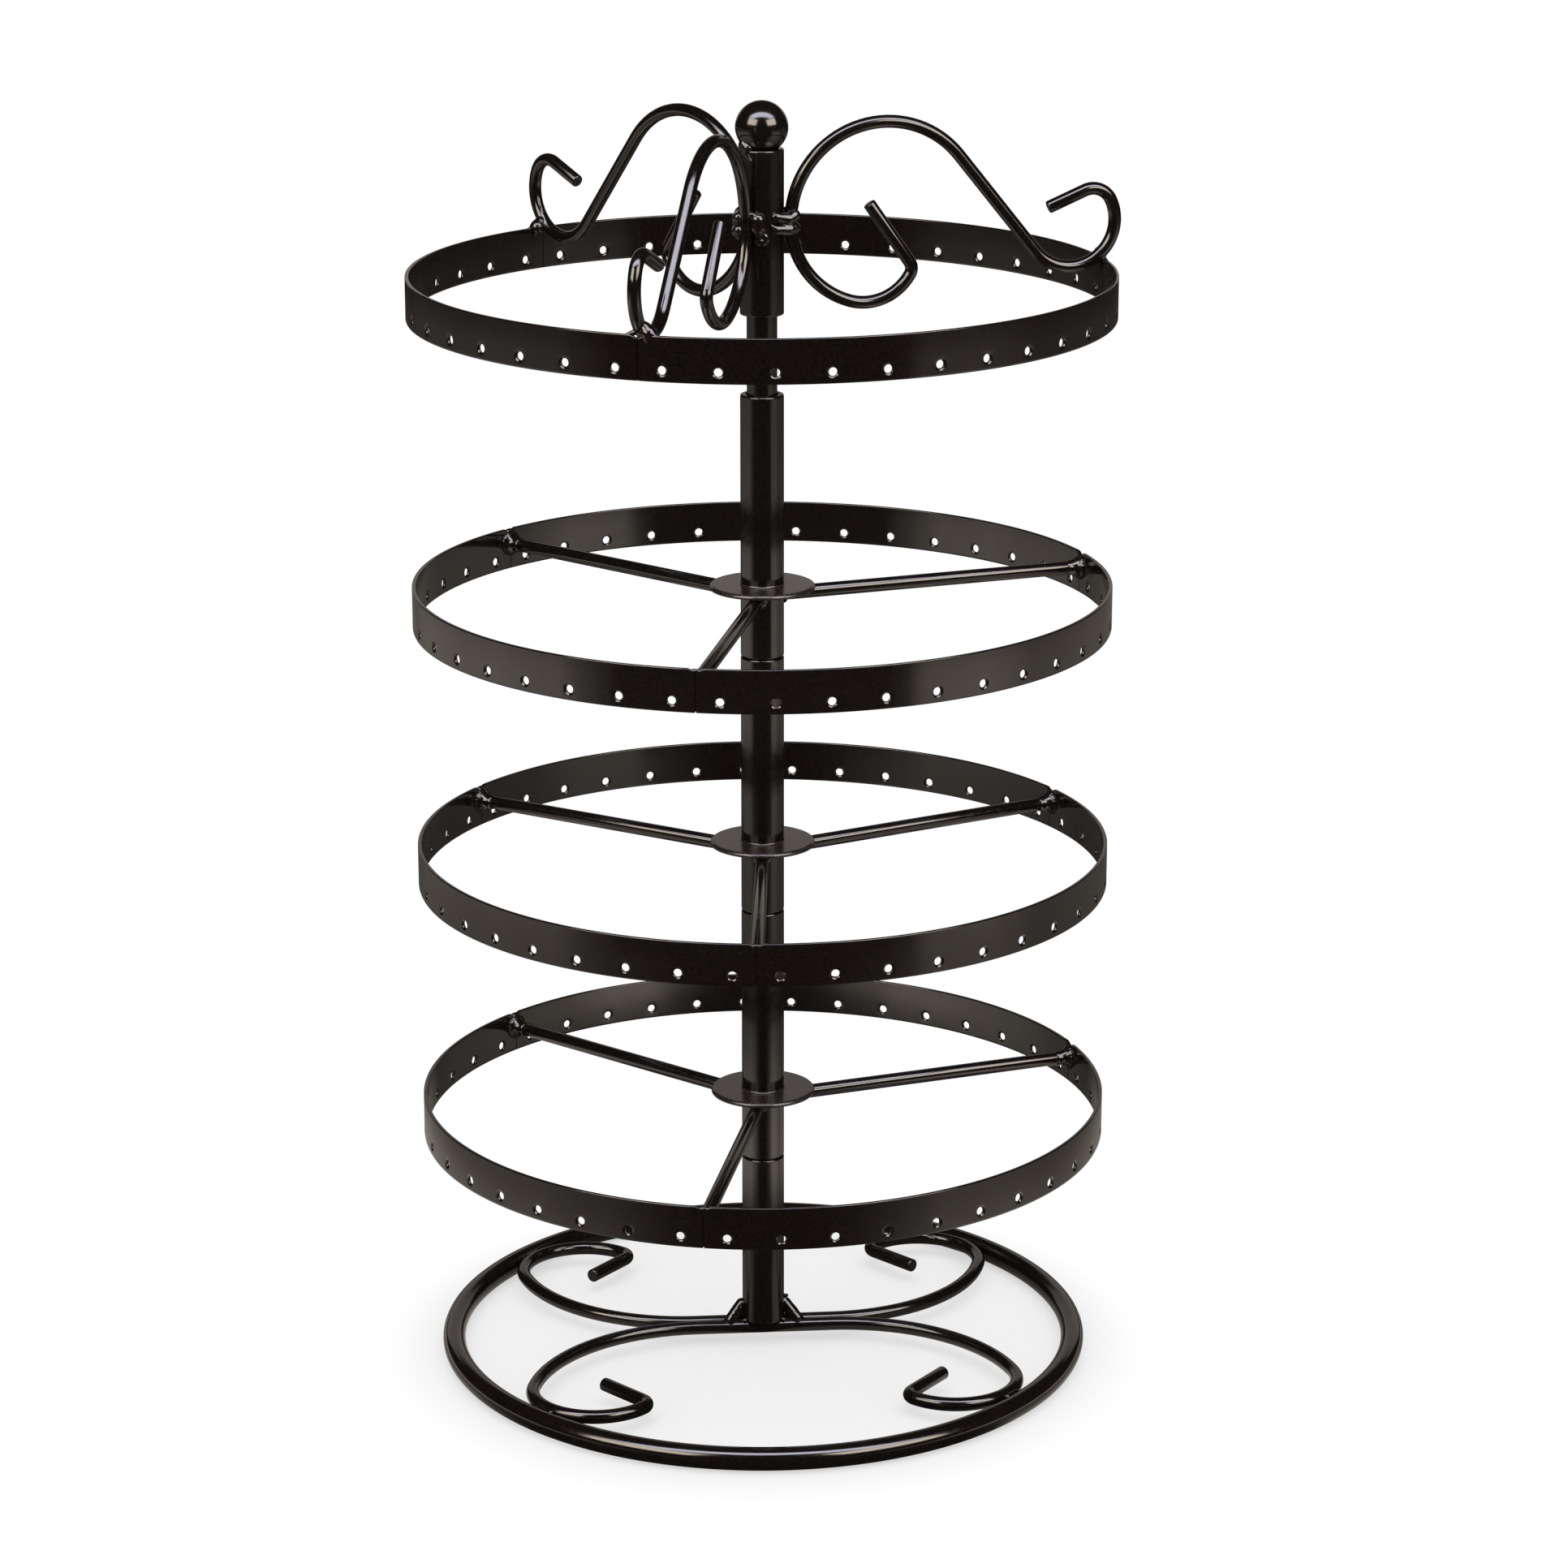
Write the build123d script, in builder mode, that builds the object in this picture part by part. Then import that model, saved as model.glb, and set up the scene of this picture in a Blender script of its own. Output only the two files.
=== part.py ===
from build123d import *
from math import asin, atan2, cos, degrees, hypot, radians, sin, sqrt
import os

# Rotating earring stand: perforated bands that turn on one pole over a scrolled wire base.
# Lengths are in millimetres and angles in degrees. +Z is up, the origin is on the table under
# the pole, X runs along the two base scrolls and the stand is seen from -Y.

# Stock that the stand is bent and cut from
ring_bar = 6.0
scroll_wire = 3.6
spoke_wire = 3.6
arm_wire = 3.3
band_height = 11.0
band_thickness = 1.0
sleeve_wall = 1.4
rod_diameter = 7.8
ball_diameter = 13.4

# Fits between the pieces
running_clearance = 0.3     # radial, between the rod and the sleeves that turn on it
turning_gap = 0.2           # between the ends of two stacked sleeves
tip_gap = 0.3               # between the rod's tip and the ball that bears on it
fit_up = 0.05               # left between two pieces that a weld then joins
overrun = 5.0               # how far a cutting shape stands past what it cuts

# Broken edges
wire_edge = 0.35
tube_edge = 0.3
rod_edge = 0.8
disc_edge = 0.25

# Pole
post_length = 47.0
sleeve_length = 68.7
bare_rod = 20.5             # rod that shows between the upper sleeve and the top one
top_sleeve_length = 42.1

# Base
base_diameter = 172.6
scroll_rise = 1.4           # scroll wires above the ring bar's centre line
scroll_bow_share = 0.585    # arc radii, as shares of how far a scroll reaches from the pole
scroll_curl_share = 0.21
scroll_bow_turn = 76.0
scroll_curl_turn = 149.0
scroll_bend_radius = 3.2
scroll_bend_turn = 85.0
scroll_tail = 15.0

# Bands: each is a ring of equal strips that butt where the spokes or arms carry them
band_diameter = 180.0
strips_per_band = 3
seam_gap = 0.6
strip_corner = 0.9          # round of a strip's upper corners at the seams
hole_diameter = 2.1
hole_height = 2.8           # hole centres above the band's lower edge
holes_per_strip = 14
seam_pitch_share = 0.87     # hole spacing across a seam, as a share of the usual spacing

# Hubs of the three spoked tiers
disc_diameter = 27.4
disc_thickness = 1.2
disc_rise = 17.8            # disc's underside above the sleeve's foot
band_over_disc = 2.2        # band's upper edge above the disc's underside

# Scrolled arms of the top tier: radii and tails as shares of the span from sleeve to band
arm_offset = 2.0            # how far an arm's plane passes beside the pole's axis
arm_weld_share = 0.56       # where an arm touches the sleeve, as a share of the sleeve's length
arch_share = 0.294
trough_share = 0.141
hook_share = 0.064
hook_tail_share = 0.126
loop_share = 0.259
curl_share = 0.163
curl_tail_share = 0.223
curl_bend_radius = 3.0
seat_angle = 41.0           # where the trough bears on the band's edge, from its lowest point
hook_start = 116.0          # headings and turns along the wire
hook_turn = 87.0
loop_turn = 73.0
curl_turn = 76.7
curl_bend_turn = 65.2

# Weld beads
collar_radius = 3.1         # round a spoke where it meets the band or the sleeve
collar_length = 3.0
collar_lip = 0.3            # what a collar's thin end stands proud of the spoke
ridge_radius = 1.1          # upright run over the seam, from a spoke's collar to the band's edge
ridge_drop = 1.6            # centre of the ridge's round top below the band's upper edge
leg_thickness = 2.8         # sloping legs between the post and the scrolls
leg_reach = 3.4
leg_height = 3.8
bead_radius = 2.5           # on the arms
bead_rise = 1.2
ring_bead_radius = 2.0

# Turn of each tier as it stands: the direction of its first spoke or arm
lower_turn = 16.0
middle_turn = 24.5
upper_turn = 15.2
top_turn = 6.5

# Radii and heights that follow
rod_radius = rod_diameter / 2
bore_radius = rod_radius + running_clearance
sleeve_radius = bore_radius + sleeve_wall
ball_radius = ball_diameter / 2
band_radius = band_diameter / 2
band_inner = band_radius - band_thickness
ring_radius = (base_diameter - ring_bar) / 2
strip_span = 360 / strips_per_band

scroll_lift = ring_bar / 2 + scroll_rise
post_foot = scroll_lift + scroll_wire / 2 + fit_up
post_top = post_foot + post_length
sleeve_pitch = sleeve_length + turning_gap
lower_foot = post_top + turning_gap
middle_foot = lower_foot + sleeve_pitch
upper_foot = middle_foot + sleeve_pitch
top_foot = upper_foot + sleeve_length + bare_rod
top_mouth = top_foot + top_sleeve_length
ball_centre = top_mouth + sqrt(ball_radius**2 - bore_radius**2) + fit_up
rod_top = ball_centre - ball_radius - tip_gap
top_band_foot = top_foot
top_band_edge = top_band_foot + band_height

os.makedirs("parts", exist_ok=True)


def save(piece, name):
    piece.part.label = name
    export_step(piece.part, f"parts/{name}.step")


def radial_plane(turn):
    # upright plane through the pole: local x points outwards and local y up
    return Plane(
        origin=(0, 0, 0),
        x_dir=Vector(1, 0, 0).rotate(Axis.Z, turn),
        z_dir=Vector(0, -1, 0).rotate(Axis.Z, turn),
    )


def outward_plane(turn, radius, height):
    # plane that faces away from the pole, at this radius and height
    outward = Vector(1, 0, 0).rotate(Axis.Z, turn)
    return Plane(origin=outward * radius + Vector(0, 0, height), x_dir=(0, 0, 1), z_dir=outward)


def tube(foot, length, inner_radius):
    with BuildPart() as piece:
        with BuildSketch(Plane.XY.offset(foot)):
            Circle(sleeve_radius)
            Circle(inner_radius, mode=Mode.SUBTRACT)
        extrude(amount=length)
        ends = piece.edges().filter_by(GeomType.CIRCLE).sort_by(SortBy.RADIUS)[-2:]
        chamfer(ends, length=tube_edge)
    return piece


# Base ring
with BuildPart() as base_ring:
    with BuildSketch(Plane.XZ):
        with Locations((ring_radius, ring_bar / 2)):
            Circle(ring_bar / 2)
    revolve(axis=Axis.Z)
save(base_ring, "base_ring")


# Base scrolls: a scroll's curl lies against the ring's inner side, and the two scrolls
# touch side by side under the post
scroll_offset = (scroll_wire + fit_up) / 2
ring_contact = (ring_bar + scroll_wire) / 2 + fit_up
scroll_reach = ring_radius - sqrt(ring_contact**2 - scroll_rise**2)
scroll_bow = scroll_bow_share * scroll_reach
scroll_curl = scroll_curl_share * scroll_reach
bow_angle = radians(scroll_bow_turn)
curl_centre_y = scroll_offset + scroll_bow - (scroll_bow - scroll_curl) * cos(bow_angle)
curl_centre_x = sqrt((scroll_reach - scroll_curl) ** 2 - curl_centre_y**2)
scroll_run = curl_centre_x - (scroll_bow - scroll_curl) * sin(bow_angle)


def base_scroll(side):
    with BuildPart() as piece:
        with BuildLine(Plane.XY.offset(scroll_lift)):
            run = Line((0, side * scroll_offset), (scroll_run, side * scroll_offset))
            bow = JernArc(run @ 1, run % 1, scroll_bow, side * scroll_bow_turn)
            curl = JernArc(bow @ 1, bow % 1, scroll_curl, side * scroll_curl_turn)
            bend = JernArc(curl @ 1, curl % 1, scroll_bend_radius, side * scroll_bend_turn)
            Line(bend @ 1, bend @ 1 + (bend % 1) * scroll_tail)
        with BuildSketch(Plane.YZ):
            with Locations((side * scroll_offset, scroll_lift)):
                Circle(scroll_wire / 2)
        sweep()
        tail_end = piece.faces().filter_by(GeomType.PLANE).sort_by(Axis.X)[-1]
        chamfer(tail_end.edges(), length=wire_edge)
        mirror(about=Plane.YZ)
    return piece


front_scroll = base_scroll(-1)
rear_scroll = base_scroll(1)
save(front_scroll, "front_scroll")
save(rear_scroll, "rear_scroll")


# Post and centre rod
base_post = tube(post_foot, post_length, rod_radius + fit_up)
save(base_post, "base_post")

with BuildPart() as centre_rod:
    with BuildSketch(Plane.XY.offset(post_foot)):
        Circle(rod_radius)
    extrude(amount=rod_top - post_foot)
    chamfer(centre_rod.edges().sort_by(Axis.Z)[-1], length=rod_edge)
save(centre_rod, "centre_rod")


# Sloping weld legs, one each side of the post
leg_slope = hypot(leg_reach, leg_height)
with BuildPart() as post_welds:
    for side in (-1, 1):
        leg_plane = Plane(
            origin=(side * (sleeve_radius + leg_reach), 0, post_foot),
            z_dir=(-side * leg_reach, 0, leg_height),
        )
        with BuildSketch(leg_plane):
            Circle(leg_thickness / 2)
        extrude(amount=leg_slope)
        with Locations(leg_plane):
            Sphere(leg_thickness / 2)
        with Locations(leg_plane.offset(leg_slope)):
            Sphere(leg_thickness / 2)
    with Locations((0, 0, post_foot)):
        Cylinder(sleeve_radius, 2 * post_length, mode=Mode.SUBTRACT)
    add(front_scroll.part, mode=Mode.SUBTRACT)
    add(rear_scroll.part, mode=Mode.SUBTRACT)
save(post_welds, "post_welds")


# Weld beads in the groove between the scrolls and the ring
curl_direction = degrees(atan2(curl_centre_y, curl_centre_x))
contact_share = (scroll_wire / 2) / ring_contact
groove_radius = scroll_reach + (ring_radius - scroll_reach) * contact_share
with BuildPart() as ring_welds:
    for direction in (curl_direction, 180 - curl_direction, 180 + curl_direction, -curl_direction):
        with Locations(outward_plane(direction, groove_radius, scroll_lift)):
            Sphere(ring_bead_radius)
    for neighbour in (front_scroll, rear_scroll, base_ring):
        add(neighbour.part, mode=Mode.SUBTRACT)
save(ring_welds, "ring_welds")


# One strip of a band: a curved bar of flat steel with a row of earring holes
seam_angle = degrees(seam_gap / band_radius)
hole_pitch = strip_span / (holes_per_strip - 1 + seam_pitch_share)
first_hole = hole_pitch * seam_pitch_share / 2


def band_strip(turn, foot):
    holes = [
        outward_plane(turn + first_hole + index * hole_pitch, band_radius, foot + hole_height)
        for index in range(holes_per_strip)
    ]
    with BuildPart() as piece:
        with BuildSketch(radial_plane(turn + seam_angle / 2)):
            with Locations((band_radius - band_thickness / 2, foot + band_height / 2)):
                Rectangle(band_thickness, band_height)
        revolve(axis=Axis.Z, revolution_arc=strip_span - seam_angle)
        fillet(piece.edges().filter_by(GeomType.LINE).group_by(Axis.Z)[-1], radius=strip_corner)
        with Locations(*holes):
            Hole(hole_diameter / 2, depth=2 * band_thickness)
    return piece


# Spoked tiers
spoke_drop = spoke_wire / 2 + fit_up
collar_tip = spoke_wire / 2 + collar_lip
disc_radius = disc_diameter / 2


def hub_disc(underside):
    with BuildPart() as piece:
        with BuildSketch(Plane.XY.offset(underside)):
            Circle(disc_radius)
            Circle(sleeve_radius + fit_up, mode=Mode.SUBTRACT)
        extrude(amount=disc_thickness)
        rim = piece.edges().filter_by(GeomType.CIRCLE).sort_by(SortBy.RADIUS)[-2:]
        chamfer(rim, length=disc_edge)
    return piece


def spoke(turn, height):
    with BuildPart() as piece:
        with BuildSketch(outward_plane(turn, 0, height)):
            Circle(spoke_wire / 2)
        extrude(amount=band_radius)
        with Locations((0, 0, height)):
            Cylinder(band_inner - fit_up, overrun, mode=Mode.INTERSECT)
            Cylinder(sleeve_radius + fit_up, overrun, mode=Mode.SUBTRACT)
    return piece


def spoke_collars(turns, spokes, disc, height, ridge_top):
    ridge_height = ridge_top - height
    with BuildPart() as piece:
        for turn in turns:
            with Locations(outward_plane(turn, sleeve_radius, height)):
                Cone(collar_radius, collar_tip, collar_length, align=(Align.CENTER, Align.CENTER, Align.MIN))
            with Locations(outward_plane(turn, band_inner, height)):
                Cone(collar_tip, collar_radius, collar_length, align=(Align.CENTER, Align.CENTER, Align.MAX))
            seam_foot = outward_plane(turn, band_inner, height).origin
            with Locations(seam_foot):
                Cylinder(ridge_radius, ridge_height, align=(Align.CENTER, Align.CENTER, Align.MIN))
            with Locations(seam_foot + Vector(0, 0, ridge_height)):
                Sphere(ridge_radius)
        with Locations((0, 0, height)):
            Cylinder(band_inner, 2 * band_height, mode=Mode.INTERSECT)
            Cylinder(sleeve_radius, 2 * band_height, mode=Mode.SUBTRACT)
        for neighbour in (*spokes, disc):
            add(neighbour.part, mode=Mode.SUBTRACT)
    return piece


for tier, foot, first_turn in (
    ("lower", lower_foot, lower_turn),
    ("middle", middle_foot, middle_turn),
    ("upper", upper_foot, upper_turn),
):
    underside = foot + disc_rise
    spoke_height = underside - spoke_drop
    band_edge = underside + band_over_disc
    band_foot = band_edge - band_height
    turns = [first_turn + index * strip_span for index in range(strips_per_band)]
    disc = hub_disc(underside)
    spokes = [spoke(turn, spoke_height) for turn in turns]
    save(tube(foot, sleeve_length, bore_radius), f"{tier}_sleeve")
    save(disc, f"{tier}_hub_disc")
    for number, (turn, piece) in enumerate(zip(turns, spokes), start=1):
        save(piece, f"{tier}_spoke_{number}")
        save(band_strip(turn, band_foot), f"{tier}_strip_{number}")
    collars = spoke_collars(turns, spokes, disc, spoke_height, band_edge - ridge_drop)
    save(collars, f"{tier}_spoke_welds")


# Top tier: sleeve and ball finial
top_sleeve = tube(top_foot, top_sleeve_length, bore_radius)
save(top_sleeve, "top_sleeve")

with BuildPart() as finial_ball:
    with Locations((0, 0, ball_centre)):
        Sphere(ball_radius)
save(finial_ball, "finial_ball")


# Top tier: a scrolled arm rises along the sleeve, arches over, bears on the band's edge in a
# trough and hooks back. Below the sleeve contact it curls into a loop with a straight tail.
arm_span = band_inner - sleeve_radius
arch_radius = arch_share * arm_span
trough_radius = trough_share * arm_span
hook_radius = hook_share * arm_span
loop_radius = loop_share * arm_span
curl_radius = curl_share * arm_span
arm_contact = sleeve_radius + arm_wire / 2 + fit_up
arm_foot = sqrt(arm_contact**2 - arm_offset**2)
arm_reach = sqrt(band_inner**2 - arm_offset**2)
arm_swing = degrees(asin(arm_offset / band_inner))
contact_swing = arm_swing - degrees(asin(arm_offset / arm_contact))
arm_weld = top_foot + arm_weld_share * top_sleeve_length
seat = radians(seat_angle)
seat_distance = trough_radius + arm_wire / 2 + fit_up
trough_centre_x = arm_reach - seat_distance * sin(seat)
trough_centre_y = top_band_edge + seat_distance * cos(seat)
centres_x = trough_centre_x - arm_foot - arch_radius
centres_y = trough_centre_y - arm_weld
centres_apart = hypot(centres_x, centres_y)
slope_angle = asin((arch_radius + trough_radius) / centres_apart) - atan2(centres_y, centres_x)
slope_length = sqrt(centres_apart**2 - (arch_radius + trough_radius) ** 2)
arch_turn = 90 + degrees(slope_angle)
trough_turn = degrees(slope_angle) + hook_start


def scrolled_arm(turn):
    side_plane = radial_plane(turn + arm_swing).offset(arm_offset)
    contact = side_plane.from_local_coords((arm_foot, arm_weld, 0))
    with BuildPart() as piece:
        with BuildLine(side_plane):
            arch = JernArc((arm_foot, arm_weld), (0, 1), arch_radius, -arch_turn)
            slope = Line(arch @ 1, arch @ 1 + (arch % 1) * slope_length)
            trough = JernArc(slope @ 1, slope % 1, trough_radius, trough_turn)
            hook = JernArc(trough @ 1, trough % 1, hook_radius, hook_turn)
            Line(hook @ 1, hook @ 1 + (hook % 1) * hook_tail_share * arm_span)
        with BuildSketch(Plane(contact)):
            Circle(arm_wire / 2)
        sweep()
        with BuildLine(side_plane):
            loop = JernArc((arm_foot, arm_weld), (0, -1), loop_radius, loop_turn)
            curl = JernArc(loop @ 1, loop % 1, curl_radius, curl_turn)
            bend = JernArc(curl @ 1, curl % 1, curl_bend_radius, curl_bend_turn)
            Line(bend @ 1, bend @ 1 + (bend % 1) * curl_tail_share * arm_span)
        with BuildSketch(Plane(contact, z_dir=(0, 0, -1))):
            Circle(arm_wire / 2)
        sweep()
        chamfer(piece.faces().filter_by(GeomType.PLANE).edges(), length=wire_edge)
    return piece


top_turns = [top_turn + index * strip_span for index in range(strips_per_band)]
arms = [scrolled_arm(turn) for turn in top_turns]
strips = [band_strip(turn, top_band_foot) for turn in top_turns]
for number, (arm, strip) in enumerate(zip(arms, strips), start=1):
    save(arm, f"top_arm_{number}")
    save(strip, f"top_strip_{number}")


# Weld beads of the arms, on the sleeve and on the band's edge
with BuildPart() as arm_welds:
    for turn in top_turns:
        with Locations(outward_plane(turn + contact_swing, sleeve_radius, arm_weld)):
            Sphere(bead_radius)
        with Locations(outward_plane(turn, band_inner, top_band_edge + bead_rise)):
            Sphere(bead_radius)
    for neighbour in (*arms, *strips):
        add(neighbour.part, mode=Mode.SUBTRACT)
    with Locations((0, 0, arm_weld)):
        Cylinder(sleeve_radius, 2 * bead_radius, mode=Mode.SUBTRACT)
save(arm_welds, "top_arm_welds")
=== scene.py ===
import math
import random
import bmesh
import bpy
from mathutils import Matrix, Vector


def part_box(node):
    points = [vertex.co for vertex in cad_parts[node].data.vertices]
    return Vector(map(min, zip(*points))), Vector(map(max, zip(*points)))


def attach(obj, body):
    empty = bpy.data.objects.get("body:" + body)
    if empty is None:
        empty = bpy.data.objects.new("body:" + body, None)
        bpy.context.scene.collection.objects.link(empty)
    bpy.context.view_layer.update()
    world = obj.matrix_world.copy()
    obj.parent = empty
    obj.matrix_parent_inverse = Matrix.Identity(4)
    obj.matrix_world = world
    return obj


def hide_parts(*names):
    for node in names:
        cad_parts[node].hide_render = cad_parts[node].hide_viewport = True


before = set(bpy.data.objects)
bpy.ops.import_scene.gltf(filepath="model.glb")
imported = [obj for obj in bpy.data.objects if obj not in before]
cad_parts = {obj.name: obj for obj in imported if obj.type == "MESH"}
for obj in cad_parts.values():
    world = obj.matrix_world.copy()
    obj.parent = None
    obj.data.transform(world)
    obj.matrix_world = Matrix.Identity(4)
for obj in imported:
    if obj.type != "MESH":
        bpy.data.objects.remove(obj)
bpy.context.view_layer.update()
scene = bpy.context.scene
scene.view_settings.view_transform = "Standard"
mm = 0.001                                   # settings are in millimetres and degrees, or say metres
joinReach = 0.002                            # points closer than this are one
sharpFrom = {"wire": 50, "turned": 60, "strip": 55, "weld": 80}    # corners that stay crisp
print("frame loaded with", len(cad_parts), "nodes")


def placed(name, data):
    thing = bpy.data.objects.new(name, data)
    scene.collection.objects.link(thing)
    return thing


# Camera of the photograph, in metres: a long lens a little to the left of the stand, looking slightly down
view = {"place": (-0.0896, -1.1386, 0.4946), "down": 16.497, "aside": 4.78, "lens": 104.82, "sensor": 36.0,
        "near": 0.05, "far": 50.0}

lens = bpy.data.cameras.new("photoLens")
lens.lens = view["lens"]
lens.sensor_width = view["sensor"]
lens.clip_start = view["near"]
lens.clip_end = view["far"]
camera = placed("photoCamera", lens)
camera.location = view["place"]
camera.rotation_euler = (math.radians(90 - view["down"]), 0, math.radians(-view["aside"]))
scene.camera = camera


def linearColour(hexText):
    # sRGB hex to the linear colour that shaders take
    parts = [int(hexText[k:k + 2], 16) / 255 for k in (1, 3, 5)]
    return [c / 12.92 if c <= 0.04045 else ((c + 0.055) / 1.055) ** 2.4 for c in parts] + [1.0]


def addNode(tree, kind, sockets=None, **settings):
    # one node with its settings; a socket takes a number or another node's output
    node = tree.nodes.new(kind)
    for name, value in settings.items():
        setattr(node, name, value)
    for socket, value in (sockets or {}).items():
        if isinstance(value, bpy.types.NodeSocket):
            tree.links.new(value, node.inputs[socket])
        else:
            node.inputs[socket].default_value = value
    return node


def bareMaterial(name):
    material = bpy.data.materials.new(name)
    material.use_nodes = True
    material.node_tree.nodes.clear()
    return material, material.node_tree


def perMetre(size):
    # texture scale on Object coordinates for a grain of this size in millimetres
    return 1 / (size * mm)


# Finishes. All of the stand is mild steel under stoved black lacquer, sprayed in one go: a warm black with
# a wet gloss, slow ripples from the spray, a fine speckle and a few dust nibs. The stock changes the look.
finishes = {
    "wireLacquer": {      # drawn wire: the smoothest, with long highlights that wobble a little
        "dark": "#0a0807", "light": "#17110e", "speckle": 0.8, "rough": (0.09, 0.16), "roughGrain": 2.2,
        "ripple": 5.0, "rippleDepth": 0.014, "tooth": 0.7, "toothDepth": 0.0010,
        "nib": 3.2, "nibDepth": 0.012},
    "stripLacquer": {     # cold-rolled strip: the tooth of the rolling softens what it mirrors
        "dark": "#0a0807", "light": "#19120f", "speckle": 0.6, "rough": (0.09, 0.13), "roughGrain": 4.0,
        "ripple": 14.0, "rippleDepth": 0.020, "tooth": 0.5, "toothDepth": 0.0004,
        "nib": 2.6, "nibDepth": 0.008},
    "tubeLacquer": {      # drawn tube and ball: a full wet coat with sags that bend the highlights
        "dark": "#0a0807", "light": "#18120e", "speckle": 0.6, "rough": (0.10, 0.17), "roughGrain": 2.6,
        "ripple": 4.0, "rippleDepth": 0.012, "tooth": 0.6, "toothDepth": 0.0010,
        "nib": 2.8, "nibDepth": 0.012},
    "plateLacquer": {     # sheared washer plate: the spray lands half dry on its top and leaves it sandy
        "dark": "#14100e", "light": "#302926", "speckle": 0.5, "rough": (0.17, 0.32), "roughGrain": 0.5,
        "ripple": 6.0, "rippleDepth": 0.010, "tooth": 0.45, "toothDepth": 0.0040,
        "nib": 2.0, "nibDepth": 0.012},
    "weldLacquer": {      # weld metal: the coat runs off the crests and pools in the hollows
        "dark": "#090706", "light": "#1b1410", "speckle": 0.7, "rough": (0.09, 0.18), "roughGrain": 0.9,
        "ripple": 1.8, "rippleDepth": 0.010, "tooth": 0.6, "toothDepth": 0.0006,
        "nib": 1.4, "nibDepth": 0.004},
}


def stovedLacquer(name, finish):
    material, tree = bareMaterial(name)
    place = addNode(tree, "ShaderNodeTexCoord").outputs["Object"]
    # fine speckle of two blacks, drawn as coarse as it needs to show
    speckle = addNode(tree, "ShaderNodeTexNoise", {
        "Vector": place, "Scale": perMetre(finish["speckle"]), "Detail": 2.0, "Roughness": 0.7})
    spread = addNode(tree, "ShaderNodeMapRange", {
        "Value": speckle.outputs["Fac"], "From Min": 0.35, "From Max": 0.65})
    shade = addNode(tree, "ShaderNodeMix", {
        0: spread.outputs["Result"], 6: linearColour(finish["dark"]), 7: linearColour(finish["light"])},
        data_type="RGBA")
    # gloss varies from spot to spot
    grain = addNode(tree, "ShaderNodeTexNoise", {
        "Vector": place, "Scale": perMetre(finish["roughGrain"]), "Detail": 3.0, "Roughness": 0.6})
    gloss = addNode(tree, "ShaderNodeMapRange", {
        "Value": grain.outputs["Fac"], "From Min": 0.3, "From Max": 0.7,
        "To Min": finish["rough"][0], "To Max": finish["rough"][1]})
    # slow ripples of the wet coat, the tooth of the stock, then dust nibs on a few of the cells
    ripple = addNode(tree, "ShaderNodeTexNoise", {
        "Vector": place, "Scale": perMetre(finish["ripple"]), "Detail": 1.0, "Roughness": 0.4})
    tooth = addNode(tree, "ShaderNodeTexNoise", {
        "Vector": place, "Scale": perMetre(finish["tooth"]), "Detail": 2.0, "Roughness": 0.6})
    nibCells = addNode(tree, "ShaderNodeTexVoronoi", {"Vector": place, "Scale": perMetre(finish["nib"])})
    nibDots = addNode(tree, "ShaderNodeMapRange", {
        "Value": nibCells.outputs["Distance"], "From Min": 0.02, "From Max": 0.10,
        "To Min": 1.0, "To Max": 0.0}, interpolation_type="SMOOTHSTEP")
    rippleBump = addNode(tree, "ShaderNodeBump", {
        "Height": ripple.outputs["Fac"], "Distance": finish["rippleDepth"] * mm, "Strength": 1.0})
    toothBump = addNode(tree, "ShaderNodeBump", {
        "Height": tooth.outputs["Fac"], "Distance": finish["toothDepth"] * mm, "Strength": 1.0,
        "Normal": rippleBump.outputs["Normal"]})
    nibBump = addNode(tree, "ShaderNodeBump", {
        "Height": nibDots.outputs["Result"], "Distance": finish["nibDepth"] * mm, "Strength": 1.0,
        "Normal": toothBump.outputs["Normal"]})
    surface = addNode(tree, "ShaderNodeBsdfPrincipled", {
        "Base Color": shade.outputs[2], "Roughness": gloss.outputs["Result"], "IOR": 1.52,
        "Normal": nibBump.outputs["Normal"]})
    addNode(tree, "ShaderNodeOutputMaterial", {"Surface": surface.outputs["BSDF"]})
    return material


lacquer = {name: stovedLacquer(name, finish) for name, finish in finishes.items()}
print("finishes:", ", ".join(lacquer))


def meshFrom(bm, name):
    mesh = bpy.data.meshes.new(name)
    bm.to_mesh(mesh)
    bm.free()
    return mesh


def meshAfter(piece, modifier):
    # what the modifier makes of the piece, as a plain mesh
    graph = bpy.context.evaluated_depsgraph_get()
    mesh = bpy.data.meshes.new_from_object(piece.evaluated_get(graph))
    piece.modifiers.remove(modifier)
    return mesh


# Geometry Nodes helpers
def newTree(name, inputs):
    tree = bpy.data.node_groups.new(name, "GeometryNodeTree")
    tree.interface.new_socket("Geometry", in_out="INPUT", socket_type="NodeSocketGeometry")
    for label, kind in inputs.items():
        tree.interface.new_socket(label, in_out="INPUT", socket_type="NodeSocket" + kind)
    tree.interface.new_socket("Geometry", in_out="OUTPUT", socket_type="NodeSocketGeometry")
    return tree


def pointsObject(name, points, girths, edges):
    # bare points or a chain of them, each with the girth of what grows there
    mesh = bpy.data.meshes.new(name)
    mesh.from_pydata(points, edges, [])
    mesh.attributes.new("girth", "FLOAT", "POINT").data.foreach_set("value", girths)
    return placed(name, mesh)


def grow(name, source, tree, values):
    # runs the tree on the source and keeps what comes out as a plain mesh
    modifier = source.modifiers.new("grow", "NODES")
    modifier.node_group = tree
    for item in tree.interface.items_tree:
        if item.in_out == "INPUT" and item.name in values:
            modifier[item.identifier] = values[item.name]
    mesh = meshAfter(source, modifier)
    bpy.data.objects.remove(source)
    return placed(name, mesh)


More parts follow.
